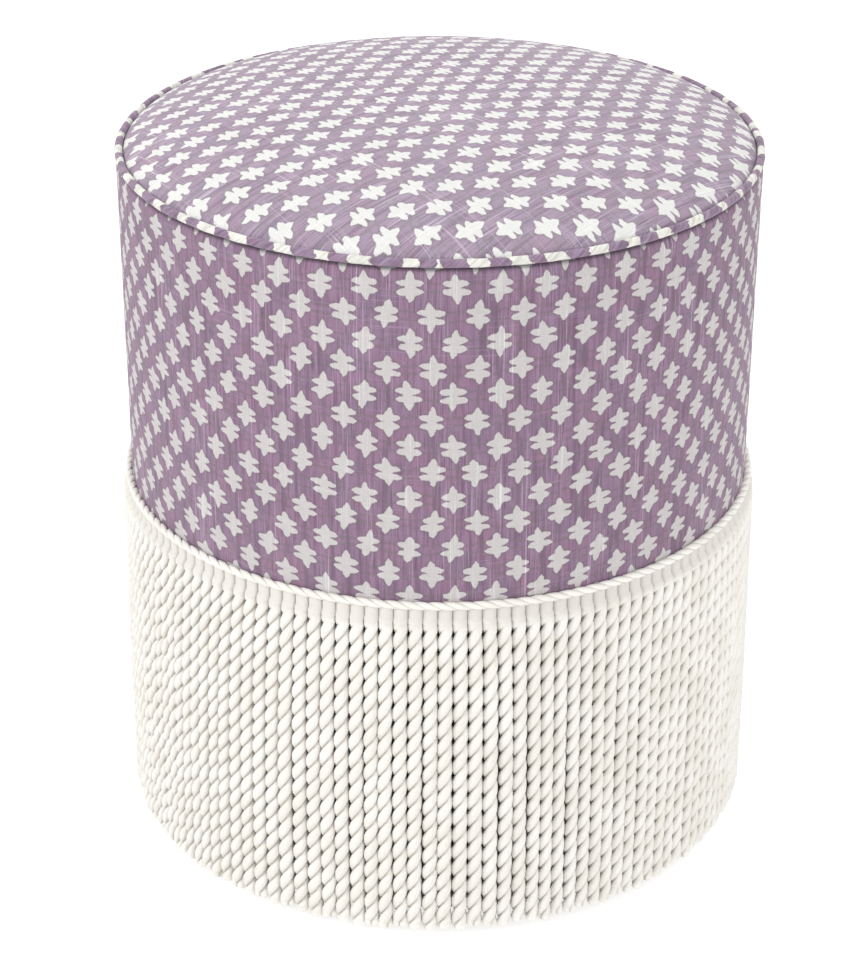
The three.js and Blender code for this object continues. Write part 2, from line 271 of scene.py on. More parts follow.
def sprig_layer(finish, across, along, repeat, shift):
    """How far inside a sprig a point of the cloth lies, in mm, for one of the two interleaved grids"""
    calc, between = finish.math, finish.between
    column = calc("ADD", calc("DIVIDE", across, repeat[0]), shift)
    row = calc("ADD", calc("DIVIDE", along, repeat[1]), shift)
    column_id, row_id = calc("ROUND", column), calc("ROUND", row)
    aside, astray, tilt = finish.random(finish.vector(column_id, row_id, PRINT_SEED + shift))
    x = calc("MULTIPLY", calc("SUBTRACT", column, column_id), repeat[0])
    y = calc("MULTIPLY", calc("SUBTRACT", row, row_id), repeat[1])
    x = calc("ADD", x, between(aside, *SPRIG_STRAY))
    y = calc("ADD", y, between(astray, *SPRIG_STRAY))
    x = calc("MULTIPLY_ADD", between(tilt, *SPRIG_TILT), y, x)
    side_id = calc("MULTIPLY_ADD", calc("SIGN", x), SIDE_SEED_STEP, column_id)
    end_id = calc("MULTIPLY_ADD", calc("SIGN", y), END_SEED_STEP, row_id)
    reach, rise, plump = finish.random(finish.vector(side_id, end_id, LOBE_SEED + shift))
    tall, fat, bent = finish.random(finish.vector(column_id, end_id, END_SEED + shift))
    out, up = calc("ABSOLUTE", x), calc("ABSOLUTE", y)
    # A side lobe: it lies just off the middle, so that a wedge of ground parts it from its twin
    lobe_middle = calc("MULTIPLY_ADD", between(rise, *LOBE_SLOPE), out, LOBE_MIDDLE)
    lobe_reach = calc("ADD", between(reach, *LOBE_REACH), calc("MULTIPLY", tilt, LOBE_TILTED_REACH))
    lobe_share = calc("POWER", calc("DIVIDE", out, lobe_reach), SPRIG_BLUNTNESS)
    lobe_taper = calc("SQRT", calc("MAXIMUM", calc("SUBTRACT", 1.0, lobe_share), 0.0))
    lobe_half = calc("MULTIPLY", between(plump, *LOBE_HALF), lobe_taper)
    lobe = calc("SUBTRACT", lobe_half, calc("ABSOLUTE", calc("SUBTRACT", up, lobe_middle)))
    # The spindle: widest in the middle, with a blunt point at each end
    tip_share = calc("POWER", calc("DIVIDE", up, between(tall, *SPINDLE_REACH)), SPRIG_BLUNTNESS)
    tip_taper = calc("POWER", calc("MAXIMUM", calc("SUBTRACT", 1.0, tip_share), 0.0), 0.7)
    tip_half = calc("MULTIPLY", between(fat, *SPINDLE_HALF), tip_taper)
    swing = calc("MULTIPLY", between(bent, *SPINDLE_BEND), up)
    spindle = calc("SUBTRACT", tip_half, calc("ABSOLUTE", calc("ADD", x, swing)))
    return calc("SUBTRACT", calc("SMOOTH_MAX", lobe, spindle, 1.0), SPRIG_MARGIN)


def printed_and_rim(finish, inside):
    """1 where the cloth is printed and 0 on the ground, and how near to a print the ground is"""
    return finish.step(inside, -SPRIG_EDGE, SPRIG_EDGE), finish.step(inside, -SPRIG_RIM, 0.0)


def sprig_print(finish, across, along, repeat):
    """The half-drop print: two grids of sprigs, the second half a repeat on both ways"""
    calc, between = finish.math, finish.between
    shake = finish.noise(finish.vector(across, along), 0.4, detail=3.0, output=1)
    shake_x, shake_y, unused = finish.parts(shake)
    across = calc("ADD", across, between(shake_x, -1.0, 1.0))
    along = calc("ADD", along, between(shake_y, -1.0, 1.0))
    grids = [sprig_layer(finish, across, along, repeat, shift) for shift in (0.0, 0.5)]
    return printed_and_rim(finish, calc("MAXIMUM", *grids))


print("sprig ready, with an edge %.1f mm soft" % (2 * SPRIG_EDGE))

# %% [markdown]
# The piping's strip is too narrow to show a whole sprig. What shows is a pale block from edge
# to edge wherever the strip was cut through one, so the blocks get a network of their own.
# Their sizes and places are shares of the repeat along the ring.
# %% The print on the piping
BLOCK_REPEAT = 24.0
BLOCK_SHAKE = 7.0
BLOCK_STRAY, BLOCK_HALF = (-0.15, 0.15), (0.11, 0.31)
BLOCK_LEAN = (-0.01, 0.02)
BLOCK_SEED = 1.3


def block_print(finish, along_ring, round_cord):
    calc, between = finish.math, finish.between
    shake = finish.noise(finish.vector(along_ring, round_cord), 0.3, detail=3.0)
    place = calc("DIVIDE", calc("MULTIPLY_ADD", shake, BLOCK_SHAKE, along_ring), BLOCK_REPEAT)
    block = calc("ROUND", place)
    aside, long, lean = finish.random(finish.vector(block, BLOCK_SEED))
    offset = calc("SUBTRACT", calc("SUBTRACT", place, block), between(aside, *BLOCK_STRAY))
    offset = calc("MULTIPLY_ADD", between(lean, *BLOCK_LEAN), round_cord, offset)
    inside = calc("SUBTRACT", between(long, *BLOCK_HALF), calc("ABSOLUTE", offset))
    return printed_and_rim(finish, calc("MULTIPLY", inside, BLOCK_REPEAT))


print("piping's blocks ready, one in %.0f mm" % BLOCK_REPEAT)

# %% [markdown]
# Slub linen is woven from uneven yarn. Thick stretches of yarn show as thin pale streaks, many
# of them along the cloth, in groups, and fewer across. We make each set from noise that is
# stretched a long way one way, and keep only its peaks. Slow noise shifts the dye a little
# between pink and grey, and fine noise breaks it up as the yarns do. The table of yarns gives
# how often each set varies, per mm across and along the cloth, the noise at which it starts
# and is full, a seed, and its strength.
# %% The printed linen
# The three sets are copies of one linen's dyes: the seat's are painted lighter and greyer, for the light and
# sheen that fall on the top, the side's are darker, and the piping's lie between.
LINEN_DYES = {
    "side": {"deep": srgb(78, 57, 77), "pale": srgb(176, 155, 176), "pink": srgb(135, 106, 128),
             "grey": srgb(128, 106, 128), "rim": srgb(103, 93, 97), "print": srgb(180, 176, 175)},
    "seat": {"deep": srgb(98, 78, 100), "pale": srgb(204, 190, 206), "pink": srgb(151, 130, 148),
             "grey": srgb(146, 132, 149), "rim": srgb(124, 116, 120), "print": srgb(205, 205, 202)},
    "piping": {"deep": srgb(88, 68, 88), "pale": srgb(180, 162, 182), "pink": srgb(138, 114, 136),
               "grey": srgb(132, 114, 136), "rim": srgb(116, 104, 110), "print": srgb(205, 204, 196)},
}
YARNS = {
    "broad dark": (0.3, 0.012, 0.54, 0.32, 7.0, 0.5),
    "narrow dark": (1.5, 0.05, 0.5, 0.3, 57.0, 0.65),
    "groups": (0.09, 0.006, 0.42, 0.62, 17.0, 1.0),
    "slubs": (0.8, 0.014, 0.56, 0.72, 0.0, 0.7),
    "fine slubs": (3.2, 0.03, 0.56, 0.7, 27.0, 0.6),
    "cross groups": (0.012, 0.08, 0.45, 0.6, 83.0, 1.0),
    "cross slubs": (0.02, 1.9, 0.56, 0.7, 40.0, 1.0),
    "gathers": (0.3, 0.03, 0.35, 0.6, 71.0, 1.0),
}
RIM_DYE = 0.6
YARNS_IN_PRINT, SLUBS_IN_PRINT = 0.3, 0.4
WEAVE_PER_MM = 9.5
GROUP_STRENGTH, MOTTLE_LIGHT, PAINTED_GATHER_SHADE = (0.2, 1.0), (0.65, 1.21), (0.85, 1.1)
BLOOM_LIGHT, WEAVE_LIGHT = 0.14, 0.04
SHADE_LIGHT = 0.4
WEAVE_RELIEF, SLUB_RELIEF = 0.25, 0.6


def yarn_set(finish, across, along, name):
    """How strongly one set of yarns shows at a point of the cloth"""
    per_mm_across, per_mm_along, none, full, seed, strength = YARNS[name]
    stretched = finish.vector(finish.math("MULTIPLY", across, per_mm_across),
                              finish.math("MULTIPLY", along, per_mm_along), seed)
    return finish.math("MULTIPLY", finish.step(finish.noise(stretched, 1.0), none, full), strength)


def linen_finish(name, dyes, pattern, cross_threads=0.36, on_bias=False, dark_above=None):
    """Printed slub linen, from cloth coordinates in metres in the UV map named cloth"""
    finish = Finish(name, 0.92, Sheen_Weight=0.18, Sheen_Roughness=0.5, Specular_IOR_Level=0.2)
    calc, between = finish.math, finish.between
    across, along, unused = finish.parts(finish.add("ShaderNodeUVMap", uv_map="cloth"))
    across, along = calc("MULTIPLY", across, 1 / MM), calc("MULTIPLY", along, 1 / MM)
    printed, rim = pattern(finish, across, along)
    if on_bias:
        across, along = calc("SUBTRACT", across, along), calc("ADD", across, along)
    place = finish.vector(across, along)
    yarns = partial(yarn_set, finish, across, along)

    # The ground: two tones of dye, darker yarns, and dye gathered at the rim of each print
    patch = finish.noise(place, 0.05, detail=4.0)
    ground = finish.blend(finish.step(patch, 0.36, 0.64), dyes["pink"], dyes["grey"])
    narrow = yarns("narrow dark")
    ground = finish.blend(calc("MAXIMUM", yarns("broad dark"), narrow), ground, dyes["deep"])
    ground = finish.blend(calc("MULTIPLY", rim, RIM_DYE), ground, dyes["rim"])

    # The pale slubs, along the cloth in groups and across it
    threads = calc("MAXIMUM", yarns("slubs"), yarns("fine slubs"))
    threads = calc("MULTIPLY", threads, between(yarns("groups"), *GROUP_STRENGTH))
    crossing = calc("MULTIPLY", yarns("cross slubs"), calc("MULTIPLY", yarns("cross groups"), cross_threads))
    streaks = calc("MAXIMUM", threads, crossing)
    ground = finish.blend(streaks, ground, dyes["pale"])

    # The print lets the yarns through a little
    thin = finish.blend(calc("MULTIPLY", narrow, YARNS_IN_PRINT), dyes["print"], dyes["pale"])
    thick = finish.blend(calc("MULTIPLY", streaks, SLUBS_IN_PRINT), thin, WHITE)
    colour = finish.blend(printed, ground, thick)

    # The weave, a fine mottle and the shade under the piping lighten and darken it all
    weave = calc("MULTIPLY", calc("SINE", calc("MULTIPLY", across, WEAVE_PER_MM)),
                 calc("SINE", calc("MULTIPLY", along, WEAVE_PER_MM)))
    mottle = finish.noise(place, 1.1, detail=4.0, roughness=0.75)
    bloom = finish.noise(place, 0.2)
    light = calc("ADD", between(mottle, *MOTTLE_LIGHT), calc("MULTIPLY", bloom, BLOOM_LIGHT))
    light = calc("ADD", light, calc("MULTIPLY", weave, WEAVE_LIGHT))
    if on_bias:
        # On the piping, painted light and shade stand in for the small gathers of the bias strip.
        light = calc("MULTIPLY", light, between(yarns("gathers"), *PAINTED_GATHER_SHADE))
    if dark_above:
        height = finish.parts(finish.place())[2]
        light = calc("MULTIPLY", light, between(finish.step(height, *dark_above), 1.0, SHADE_LIGHT))
    finish.colour(finish.blend(1.0, colour, finish.vector(light, light, light), how="MULTIPLY"))
    relief = calc("ADD", calc("MULTIPLY", weave, WEAVE_RELIEF), calc("MULTIPLY", streaks, SLUB_RELIEF))
    finish.relief(calc("ADD", relief, mottle), 0.35, 0.25 * MM)
    return finish.material


SIDE_REPEAT = (25.004, 31.8)
SEAT_REPEAT = (22.65, 34.9)
UNDER_PIPING = (SIDE_TOP - 2.6 * MM, SIDE_TOP - 0.6 * MM)
side_linen = linen_finish("printed linen, side", LINEN_DYES["side"],
                          partial(sprig_print, repeat=SIDE_REPEAT), dark_above=UNDER_PIPING)
seat_linen = linen_finish("printed linen, seat", LINEN_DYES["seat"],
                          partial(sprig_print, repeat=SEAT_REPEAT), cross_threads=0.85)
welt_linen = linen_finish("printed linen, piping", LINEN_DYES["piping"], block_print, on_bias=True)
print("linen finishes:", side_linen.name, "/", seat_linen.name, "/", welt_linen.name)

# %% [markdown]
# The fringe is matt white cotton. Most of its shading comes from the shape of the cords, and the
# finish adds the rest: fine yarn, a warmer, darker tone in the woven header that is partly its own
# and partly painted shade under the lip cord, and painted shade in the creases. Each cord
# carries a number for how deep in a crease a point lies.
# %% Cotton
HEADER_START = (HEADER_LOW - 4 * MM, HEADER_LOW + 3 * MM)
HEADER_STOP = (LIP_LOW + 2 * MM, LIP_LOW - 1 * MM)
YARN_SCALE, TONE_SCALE = 900.0, 45.0
YARN_DEPTH, PAINTED_CREASE_SHADE = 0.12, 0.6


def cotton_finish(name, light_tone, warm_tone, crease_shade_and_yarn_tone, header_tone_and_shade=None):
    finish = Finish(name, 0.85, Sheen_Weight=0.15, Sheen_Roughness=0.4, Specular_IOR_Level=0.25)
    calc = finish.math
    place = finish.place()
    crease = finish.add("ShaderNodeAttribute", output=2, attribute_name="crease")
    yarn = finish.noise(place, YARN_SCALE)
    tone = finish.noise(place, TONE_SCALE)
    body = finish.blend(finish.step(tone, 0.35, 0.65), light_tone, warm_tone)
    if header_tone_and_shade:
        height = finish.parts(place)[2]
        # The header band's tone is partly the woven cotton's own warmth and partly painted shade under the
        # lip cord.
        woven = calc("MULTIPLY", finish.step(height, *HEADER_START), finish.step(height, *HEADER_STOP))
        body = finish.blend(woven, body, header_tone_and_shade)
    body = finish.blend(calc("MULTIPLY", finish.step(yarn, 0.35, 0.75), YARN_DEPTH), body, crease_shade_and_yarn_tone)
    # Painted shade: the crease tone is laid on where a point lies deep in a crease.
    deep = calc("MULTIPLY", finish.step(crease, 0.15, 1.0), PAINTED_CREASE_SHADE)
    finish.colour(finish.blend(deep, body, crease_shade_and_yarn_tone))
    finish.relief(yarn, 0.3, 0.2 * MM)
    return finish.material


fringe_cotton = cotton_finish("twisted cotton", srgb(229, 227, 222), srgb(223, 220, 213),
                              srgb(184, 177, 164), header_tone_and_shade=srgb(208, 205, 199))
# The tape's cotton is a darker copy of the fringe's: painted shade for the narrow groove between the ribs.
shaded_tape_cotton = cotton_finish("woven cotton tape, painted shade", srgb(176, 170, 160), srgb(169, 163, 151),
                            srgb(156, 149, 137))
print("fringe finishes:", fringe_cotton.name, "/", shaded_tape_cotton.name)

# %% [markdown]
# Modelling by hand means one thing at a time: the piece alone is selected, edit mode opens,
# and only the wanted points are picked. These few helpers do just that, so that the steps
# which follow read like the steps at the bench.
# %% Helpers for modelling
def only(piece):
    deselect_all()
    piece.select_set(True)
    bpy.context.view_layer.objects.active = piece
    return piece


def open_edit(piece):
    only(piece)
    bpy.ops.object.mode_set(mode="EDIT")
    bpy.ops.mesh.select_mode(type="VERT")


def close_edit():
    bpy.ops.object.mode_set(mode="OBJECT")


def pick_all():
    bpy.ops.mesh.select_all(action="SELECT")


def pick(piece, wanted):
    """In edit mode: selects the points whose place passes the test, and nothing else"""
    bpy.ops.mesh.select_all(action="DESELECT")
    shape = bmesh.from_edit_mesh(piece.data)
    for point in shape.verts:
        if wanted(point.co):
            point.select_set(True)
    shape.select_flush(True)
    bmesh.update_edit_mesh(piece.data)


def extrude(move):
    bpy.ops.mesh.extrude_region_move(TRANSFORM_OT_translate={"value": move})


def resize(x, y, z, middle):
    bpy.ops.transform.resize(value=(x, y, z), center_override=middle)


def apply_modifiers(piece):
    only(piece)
    for modifier in list(piece.modifiers):
        bpy.ops.object.modifier_apply(modifier=modifier.name)


def settle(piece):
    """Puts a piece's place, turn and size into its mesh"""
    only(piece)
    bpy.ops.object.transform_apply(location=True, rotation=True, scale=True)


def new_piece(name):
    """Names the primitive that was just added, and settles it"""
    piece = bpy.context.object
    piece.name = name
    settle(piece)
    return piece


def facing_out(piece):
    open_edit(piece)
    pick_all()
    bpy.ops.mesh.remove_doubles(threshold=0.01 * MM)
    bpy.ops.mesh.normals_make_consistent(inside=False)
    close_edit()


def smooth(piece, angle=None):
    only(piece)
    if angle is None:
        bpy.ops.object.shade_smooth()
    else:
        bpy.ops.object.shade_smooth_by_angle(angle=math.radians(angle))


def dress(piece, material, slot, *nodes):
    """Gives a piece its finish, hides the frame nodes that it stands for, and attaches it to the root body;
    the slot is not used
    """
    piece.data.materials.clear()
    piece.data.materials.append(material)
    if nodes:
        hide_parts(*nodes)
    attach(piece, "root")
    print("%s: %d faces" % (piece.name, len(piece.data.polygons)))


print("modelling helpers ready")

# %% [markdown]
# Cloth pieces end alike: hand work leaves them a little uneven, the sheet gets its thickness
# inwards from the side that shows, and its shading is smoothed. Small parts that repeat are
# modelled once, copied, and joined into one piece.
# %% Helpers for cloth and for copies
CLOTH_CREASE = 50


def uneven(piece, size, height):
    """Small random unevenness along the normals, as hand work has"""
    texture = bpy.data.textures.new("%s unevenness" % piece.name, type="CLOUDS")
    texture.noise_scale = size
    texture.noise_depth = 1
    texture.noise_basis = "ORIGINAL_PERLIN"
    modifier = piece.modifiers.new("unevenness", "DISPLACE")
    modifier.texture = texture
    modifier.texture_coords = "LOCAL"
    modifier.strength = height
    modifier.mid_level = 0.5


def make_cloth(piece, thickness):
    modifier = piece.modifiers.new("thickness", "SOLIDIFY")
    modifier.thickness = thickness
    modifier.offset = -1
    apply_modifiers(piece)
    smooth(piece, CLOTH_CREASE)


def add_copy(kind, place):
    """A copy of a small part, with its own mesh, at the place that a matrix gives"""
    copy = kind.copy()
    copy.data = kind.data.copy()
    bpy.context.collection.objects.link(copy)
    copy.matrix_world = place
    return copy


def join_pieces(pieces, name):
    deselect_all()
    for piece in pieces:
        piece.select_set(True)
    bpy.context.view_layer.objects.active = pieces[0]
    bpy.ops.object.join()
    return new_piece(name)


print("cloth and copy helpers ready")

# %% [markdown]
# Four pieces are bands that go round the drum: the wadding, the linen, the lining behind the
# fringe, and the fringe's tape. Each starts as a circle at its lower edge, and the circle is
# extruded up in even steps. The points stay selected, so a caller can go on from the top.
# %% A band round the drum
def start_band(name, radius, low, high, points, steps):
    """An open band, left in edit mode with its upper edge selected"""
    bpy.ops.mesh.primitive_circle_add(vertices=points, radius=radius, location=(0, 0, low))
    band = new_piece(name)
    open_edit(band)
    pick_all()
    for unused in range(steps):
        extrude((0, 0, (high - low) / steps))
    return band


def turn_in(radius, level, inset, rise):
    """Carries the selected edge on up and in, as cloth does where it turns over an edge"""
    last = 0.0
    for share in (0.25, 0.6, 1.0):
        extrude((0, 0, rise / 3))
        shrink = (radius - inset * share ** 2) / (radius - inset * last ** 2)
        resize(shrink, shrink, 1, (0, 0, level))
        last = share


def band_cloth_map(piece, radius, start, drawn_up):
    """A UV map in metres of cloth: round the drum and up it, cut open at the back"""
    layer = piece.data.uv_layers.new(name="cloth")
    points = piece.data.vertices
    for face in piece.data.polygons:
        middle = math.atan2(face.center.x, -face.center.y)
        for corner in face.loop_indices:
            place = points[piece.data.loops[corner].vertex_index].co
            angle = math.atan2(place.x, -place.y)
            angle += 2 * math.pi * round((middle - angle) / (2 * math.pi))
            layer.data[corner].uv = (angle * radius + start[0],
                                     place.z + start[1] + drawn_up(angle, place.z))


print("band helpers ready")

# %% [markdown]
# The side cover is a straight band of linen, sewn into a sleeve and pulled down over the
# wadding. Its last steps turn in towards the piping. The sleeve's seam is at the back, where a
# seam belongs: we bevel one upright line of edges and press its middle in. The cloth is drawn up
# more to the left and right than at the front, so its rows of sprigs curve a little.
# %% Side cover
LINEN_THICKNESS = 0.8 * MM
SLEEVE_POINTS, SLEEVE_STEPS = 240, 22
SLEEVE_TURN = 7 * MM
SLEEVE_TURN_INSET = 2.4 * MM
SIDE_PRINT_START = (3.7 * MM, -348.6 * MM)
SEAM_HALF_WIDTH = 1.4 * MM
SEAM_DEPTH = 1.1 * MM
DRAWN_FROM = 400 * MM
FRONT_DRAWN, FRONT_DRAWN_SHARE = 1 * MM, 0.0125
SIDE_DRAWN, SIDE_DRAWN_SHARE = 7 * MM, 0.135


def at_back_seam(place):
    return abs(place.x) < 0.1 * MM and place.y > 0


def drawn_up_at_sides(angle, height):
    """How much higher up the cloth we are than its straight rows would say, in metres"""
    below = DRAWN_FROM - height
    at_sides = SIDE_DRAWN + SIDE_DRAWN_SHARE * below
    return FRONT_DRAWN + FRONT_DRAWN_SHARE * below - math.sin(angle) ** 2 * at_sides


side_cover = start_band("side_cover_linen", LINEN_RADIUS, SIDE_LOW, SIDE_TOP - SLEEVE_TURN,
                        SLEEVE_POINTS, SLEEVE_STEPS)
turn_in(LINEN_RADIUS, SIDE_TOP, SLEEVE_TURN_INSET, SLEEVE_TURN)
pick(side_cover, at_back_seam)
bpy.ops.mesh.bevel(offset=SEAM_HALF_WIDTH, segments=2, affect="EDGES")
pick(side_cover, at_back_seam)
bpy.ops.transform.translate(value=(0, -SEAM_DEPTH, 0))
close_edit()
facing_out(side_cover)
band_cloth_map(side_cover, LINEN_RADIUS, SIDE_PRINT_START, drawn_up_at_sides)
uneven(side_cover, size=60 * MM, height=0.9 * MM)
make_cloth(side_cover, LINEN_THICKNESS)
dress(side_cover, side_linen, "side_linen", "side_cover")

# %% [markdown]
# The seat's linen follows the crown: flat in the middle and steep just inside the piping. A
# circle at the seam is drawn in ring by ring, each ring lifted to the crown's height, and the
# last one is merged to a point. The cloth lies on the bias, with its sprigs pointing to the
# back right, and it is pulled a little more at the front than at the back.
# %% Seat cover
CROWN_SHARES = (0.997, 0.99, 0.978, 0.96, 0.93, 0.89, 0.84, 0.78, 0.7, 0.6, 0.49, 0.37, 0.25, 0.13, 0.05)
SEAT_PRINT_TURN = math.radians(-49.1)
SEAT_PRINT_SHARE = 0.92
SEAT_PRINT_START = (-2.714 * SEAT_REPEAT[0] * MM, 1.644 * SEAT_REPEAT[1] * MM)
FRONT_PULL, BACK_PULL = 0.16, 0.12
PULL_REACH = 190 * MM


def crown_height(radius, depth=0.0):
    fall = min((radius / SEAM_RADIUS) ** CROWN_POWER, 1)
    return WELT_LEVEL + CROWN_RISE * (1 - fall) ** CROWN_EDGE_POWER - depth


def seat_cloth_map(piece):
    """A UV map in metres of cloth, turned to the bias, from the places seen from above"""
    layer = piece.data.uv_layers.new(name="cloth")
    cosine, sine = math.cos(SEAT_PRINT_TURN), math.sin(SEAT_PRINT_TURN)
    for face in piece.data.polygons:
        for corner in face.loop_indices:
            place = piece.data.vertices[piece.data.loops[corner].vertex_index].co
            ease = 1 + (FRONT_PULL if place.y < 0 else BACK_PULL) * place.y / PULL_REACH
            x, y = place.x * ease / SEAT_PRINT_SHARE, place.y * ease / SEAT_PRINT_SHARE
            layer.data[corner].uv = (x * cosine + y * sine + SEAT_PRINT_START[0],
                                     y * cosine - x * sine + SEAT_PRINT_START[1])


def add_crown(name, radius, depth, points=144):
    """The crowned top of the seat as an open sheet, at a depth below the finished surface"""
    bpy.ops.mesh.primitive_circle_add(vertices=points, radius=radius,
                                      location=(0, 0, crown_height(radius, depth)))
    crown = new_piece(name)
    open_edit(crown)
    pick_all()
    last = 1.0
    for share in CROWN_SHARES:
        lift = crown_height(share * radius, depth) - crown_height(last * radius, depth)
        extrude((0, 0, lift))
        resize(share / last, share / last, 1, (0, 0, crown_height(share * radius, depth)))
        last = share
    extrude((0, 0, crown_height(0, depth) - crown_height(last * radius, depth)))
    bpy.ops.mesh.merge(type="CENTER")
    close_edit()
    facing_out(crown)
    return crown


seat_cover = add_crown("seat_cover_linen", SEAM_RADIUS, 0)
seat_cloth_map(seat_cover)
uneven(seat_cover, size=90 * MM, height=0.5 * MM)
make_cloth(seat_cover, LINEN_THICKNESS)
dress(seat_cover, seat_linen, "seat_linen", "seat_cover")

# %% [markdown]
# The piping is a cord wrapped in a bias strip of the same linen. A torus is its plain form, and
# fine unevenness gives the small gathers where the strip goes round the curve. Its map runs along
# the ring and round the cord, and it starts at the back, where the strip's two ends are joined.
# %% Piping
WELT_POINTS, WELT_TUBE_POINTS = 480, 14


def ring_cloth_map(piece, ring_radius, tube_radius):
    """Turns the torus's own map, which runs 0 to 1 both ways, into metres"""
    layer = piece.data.uv_layers[0]
    layer.name = "cloth"
    for corner in layer.data:
        corner.uv = (corner.uv[0] * 2 * math.pi * ring_radius,
                     corner.uv[1] * 2 * math.pi * tube_radius)


bpy.ops.mesh.primitive_torus_add(major_segments=WELT_POINTS, minor_segments=WELT_TUBE_POINTS,
                                 major_radius=WELT_RING, minor_radius=WELT_THICKNESS / 2,
                                 location=(0, 0, WELT_LEVEL), rotation=(0, 0, math.pi / 2))
welt = new_piece("welt_piping")
ring_cloth_map(welt, WELT_RING, WELT_THICKNESS / 2)
uneven(welt, size=6 * MM, height=0.7 * MM)
apply_modifiers(welt)
smooth(welt)
dress(welt, welt_linen, "welt_linen", "welt")

# %% [markdown]
# Bullion fringe is made of two-ply cords. One cord, cut across, is two fat plies pressed
# together, so its outline is nearly round, with a narrow crease on either side. The twist
# carries that outline round and round down the cord. So we shape a circle into the outline and
# let a Screw modifier carry it down. We mark the crease points first, because the modifier
# copies that mark to every turn. An outline gives, for the points at an angle in degrees, the
# share of the radius that they keep, and how much narrower still they are across.
# %% Twisted cords
CORD_OUTLINE = {22.5: (0.99, 1.0), 45: (0.945, 1.0), 67.5: (0.79, 0.74), 90: (0.47, 1.0)}
LIP_OUTLINE = {45: (0.96, 1.0), 67.5: (0.87, 0.82), 90: (0.6, 1.0)}
CORD_POINTS = 16
CREASE_FROM, CREASE_GAIN = 0.86, 3.2
CORD_CREASE = 62


def degrees_from_plies(place):
    return math.degrees(math.atan2(abs(place.y), abs(place.x)))


def add_twisted_cord(name, radius, outline, pitch, length, steps_per_turn, start_degrees=0):
    """A two-ply cord from the origin down along -Z, with a right-hand twist"""
    bpy.ops.mesh.primitive_circle_add(vertices=CORD_POINTS, radius=radius)
    cord = new_piece(name)
    open_edit(cord)
    for degrees, (share, narrowing) in outline.items():
        pick(cord, lambda place: abs(degrees_from_plies(place) - degrees) < 3)
        resize(share * narrowing, share, 1, (0, 0, 0))
    close_edit()
    # The crease mark tells the cotton finish where to paint shade into the creases.
    crease = cord.data.attributes.new("crease", "FLOAT", "POINT")
    for point in cord.data.vertices:
        share = math.hypot(point.co.x, point.co.y) / radius
        crease.data[point.index].value = min(1, max(0, (CREASE_FROM - share) * CREASE_GAIN))
    cord.rotation_euler = (0, 0, math.radians(start_degrees))
    settle(cord)
    screw = cord.modifiers.new("twist", "SCREW")
    screw.axis = "Z"
    screw.angle = -2 * math.pi * length / pitch
    screw.screw_offset = -length
    screw.steps = screw.render_steps = round(steps_per_turn * length / pitch)
    screw.use_merge_vertices = False
    apply_modifiers(cord)
    return cord


def close_end(cord, at, directions):
    """Rounds off the loop of points at one height: each step moves it and draws it in"""
    open_edit(cord)
    pick(cord, lambda place: abs(place.z - at) < 0.01 * MM)
    level = at
    for move, share in directions:
        extrude((0, 0, move))
        level += move
        resize(share, share, 1, (0, 0, level))
    bpy.ops.mesh.merge(type="CENTER")
    close_edit()


print("cord helpers ready")

# %% [markdown]
# A strand starts as a rib in the woven header and becomes a cord below it. The cord's first
# rings are made rounder, so that the rib flows into the front ply and the first crease opens
# only below it. The rib itself is drawn up from the first ring, flattened and set back, because
# the header lies flat on the drum and the cords hang in front of it. Seven kinds of strand
# differ in their pitch and in how far they sway to a side halfway down, both in mm.
# %% Kinds of strand
CORD_RADIUS = 4.65 * MM
STRAND_TOP = HEADER_LOW + 0.5 * MM
STRAND_LENGTH = STRAND_TOP - STRAND_END
CORD_START_DEGREES = 25
CORD_STEPS = 12
CORD_END = ((-1.6 * MM, 0.97), (-1.5 * MM, 0.87), (-1.0 * MM, 0.64), (-0.5 * MM, 0.35))
CORD_END_LENGTH = 4.6 * MM
FIRST_RINGS = ((0.9, 1.09), (0.7, 1.07), (0.45, 1.05), (0.2, 1.02))
NECK_HEIGHT, NECK_FLATNESS = 1.5 * MM, 0.8
RIB_BACK = 1.2 * MM
RIB_SHOULDER, RIB_HEIGHT, RIB_CAP = 1.3 * MM, 5.8 * MM, 0.8 * MM
RIB_HALF_WIDTH, RIB_HALF_DEPTH = 4.3 * MM, 2.4 * MM
ROUND_SHARE = 0.87
SWAY_SHARE, SWAY_REACH = 0.55, 95 * MM
STRAND_KINDS = ((24.2, 0.4), (24.9, -0.3), (23.6, 0.2), (25.2, -0.4), (24.0, 0.3), (24.5, -0.1), (23.2, 0.1))


def draw_up_rib(strand):
    """In edit mode: draws the header's rib up from the cord's first ring, and closes its top"""
    half_back = (0, 0.5 * RIB_BACK, 0)
    pick(strand, lambda place: place.z > -0.01 * MM)
    extrude((0, 0, NECK_HEIGHT))
    bpy.ops.transform.tosphere(value=0.5)
    resize(1.0, NECK_FLATNESS, 1, (0, 0, 0))
    bpy.ops.transform.translate(value=half_back)
    extrude((0, 0, RIB_SHOULDER))
    bpy.ops.transform.tosphere(value=1.0)
    resize(RIB_HALF_WIDTH / CORD_RADIUS / ROUND_SHARE,
           RIB_HALF_DEPTH / CORD_RADIUS / ROUND_SHARE / NECK_FLATNESS, 1, half_back)
    bpy.ops.transform.translate(value=half_back)
    extrude((0, 0, RIB_HEIGHT))
    extrude((0, 0, RIB_CAP))
    resize(0.9, 0.6, 1, (0, RIB_BACK, 0))
    bpy.ops.mesh.edge_face_add()


